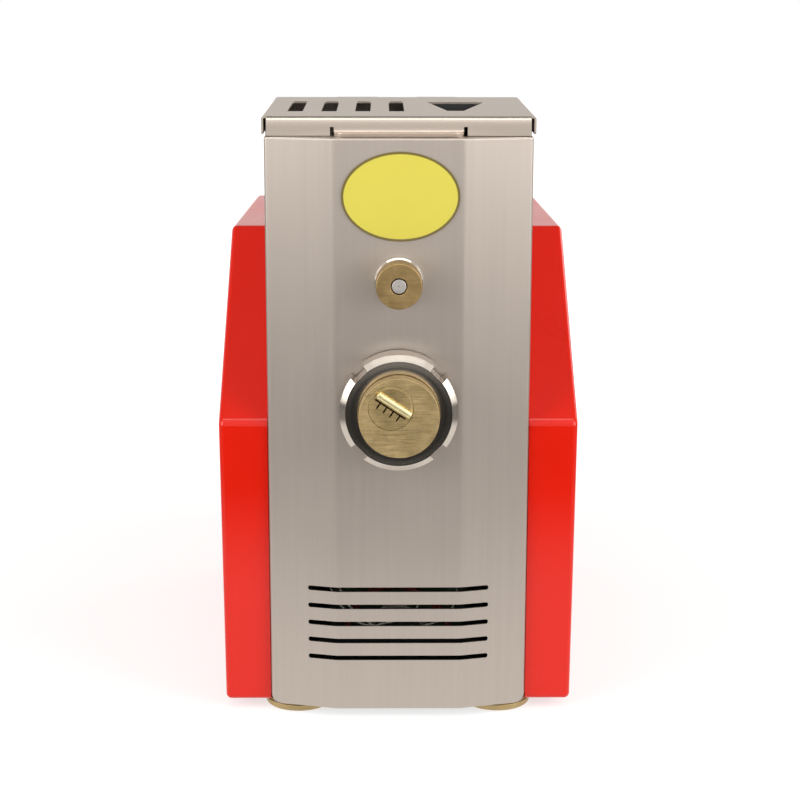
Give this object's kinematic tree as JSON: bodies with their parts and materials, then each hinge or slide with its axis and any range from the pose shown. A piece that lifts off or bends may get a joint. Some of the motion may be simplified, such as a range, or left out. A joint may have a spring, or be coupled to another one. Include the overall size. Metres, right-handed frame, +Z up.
{
  "type": "electric pasta maker",
  "caption": "Electric pasta maker: steel tower with a mixing hopper, geared auger, screw-on die nut, hinged lid with pour opening, and red side covers.",
  "frame": {"origin": "centre of the footprint, on the surface the feet stand on", "axes": "+Z up, front with the die and knob faces -Y, +X to the right seen from the front"},
  "size_m": [0.267, 0.436, 0.4511],
  "materials": {
    "brushed_panel": "fine vertical brushing, satin",
    "turned_steel": "turned and polished",
    "gear_steel": "cut gear steel, lightly oiled",
    "solid_brass": "turned and brushed, slightly tarnished",
    "red_paint": "high gloss",
    "yellow_enamel": "gloss, bare of lettering",
    "cast_alloy": "as cast and milled",
    "motor_paint": "semi-gloss",
    "black_plastic": "fine texture",
    "white_plastic": "fine texture",
    "green_plastic": "gloss",
    "red_plastic": "gloss",
    "circuit_laminate": "green solder mask"
  },
  "bodies": {
    "root": {"base_plate": "cast_alloy", "foot_front_left": "solid_brass", "foot_front_right": "solid_brass", "foot_rear_left": "solid_brass", "foot_rear_right": "solid_brass", "front_panel": "brushed_panel", "badge_plate": "yellow_enamel", "tower_shell": "brushed_panel", "bulkhead": "cast_alloy", "left_side_cover": "red_paint", "right_side_cover": "red_paint", "left_cover_screw_1": "turned_steel", "left_cover_screw_2": "turned_steel", "right_cover_screw_1": "turned_steel", "right_cover_screw_2": "turned_steel", "deck_cover": "red_paint", "rear_panel": "brushed_panel", "rear_screw_low_left": "turned_steel", "rear_screw_low_right": "turned_steel", "rear_screw_high_left": "turned_steel", "rear_screw_high_right": "turned_steel", "hinge_leaf": "brushed_panel", "hinge_pin": "turned_steel", "hopper_tub": "brushed_panel", "barrel": "turned_steel", "auger_bearing": "solid_brass", "paddle_bearing": "solid_brass", "knob_collar": "turned_steel", "gearbox_casing": "cast_alloy", "motor_can": "motor_paint", "fan_cover": "black_plastic", "motor_bracket": "cast_alloy", "capacitor": "white_plastic", "terminal_block": "white_plastic", "control_box": "black_plastic", "circuit_board": "circuit_laminate", "wiring_loom_red": "red_plastic", "wiring_loom_white": "white_plastic", "selector_dial": "black_plastic", "start_bezel": "turned_steel", "stop_bezel": "turned_steel", "inlet_socket": "black_plastic", "lid_sensor": "black_plastic"},
    "lid": {"lid_panel": "brushed_panel", "pour_funnel": "black_plastic", "lid_magnet": "turned_steel"},
    "die": {"die_disc": "solid_brass", "die_insert": "solid_brass"},
    "nut": {"ring_nut": "turned_steel"},
    "sleeve": {"bearing_sleeve": "solid_brass"},
    "knob": {"brass_knob": "solid_brass"},
    "paddle": {"mixing_paddle": "turned_steel", "paddle_gear": "gear_steel"},
    "auger": {"auger_screw": "turned_steel", "auger_gear": "gear_steel"},
    "pinion": {"motor_pinion": "gear_steel"},
    "selector": {"selector_knob": "black_plastic"},
    "start": {"start_button": "green_plastic"},
    "stop": {"stop_button": "red_plastic"}
  },
  "joints": [
    {"name": "lid_hinge", "type": "hinge", "parent": "root", "child": "lid", "pos_m": [0, 0.02797, 0.4452], "axis": [-1, 0, 0], "range_deg": [0, 100]},
    {"name": "die_slide", "type": "slide", "parent": "root", "child": "die", "axis": [0, -1, 0], "range_m": [0, 0.012]},
    {"name": "ring_nut_turn", "type": "hinge", "parent": "die", "child": "nut", "pos_m": [0, -0.19, 0.2422], "axis": [0, -1, 0], "range_deg": [0, 1440]},
    {"name": "sleeve_slide", "type": "slide", "parent": "root", "child": "sleeve", "axis": [0, -1, 0], "range_m": [0, 0.006]},
    {"name": "knob_turn", "type": "hinge", "parent": "sleeve", "child": "knob", "pos_m": [0, -0.195, 0.3352], "axis": [0, -1, 0], "range_deg": [0, 1440]},
    {"name": "auger_spin", "type": "hinge", "parent": "root", "child": "auger", "pos_m": [0, 0, 0.2422], "axis": [0, -1, 0], "continuous": true},
    {"name": "paddle_spin", "type": "hinge", "parent": "root", "child": "paddle", "pos_m": [0, 0, 0.3352], "axis": [0, -1, 0], "continuous": true},
    {"name": "pinion_spin", "type": "hinge", "parent": "root", "child": "pinion", "pos_m": [0, 0.01, 0.1642], "axis": [0, -1, 0], "continuous": true},
    {"name": "selector_turn", "type": "hinge", "parent": "root", "child": "selector", "pos_m": [0.045, 0.21, 0.285], "axis": [0, 1, 0], "range_deg": [-45, 45]},
    {"name": "start_press", "type": "slide", "parent": "root", "child": "start", "axis": [0, -1, 0], "range_m": [0, 0.003], "stiffness_N_per_m": 400, "springref_m": -0.001},
    {"name": "stop_press", "type": "slide", "parent": "root", "child": "stop", "axis": [0, -1, 0], "range_m": [0, 0.003], "stiffness_N_per_m": 400, "springref_m": -0.001}
  ],
  "couplings": [
    {"joint": "die_slide", "follows": "ring_nut_turn", "m_per_rad": 0.000477},
    {"joint": "sleeve_slide", "follows": "knob_turn", "m_per_rad": 0.000238},
    {"joint": "paddle_spin", "follows": "auger_spin", "ratio": -1.3846},
    {"joint": "pinion_spin", "follows": "auger_spin", "ratio": -2.25}
  ]
}
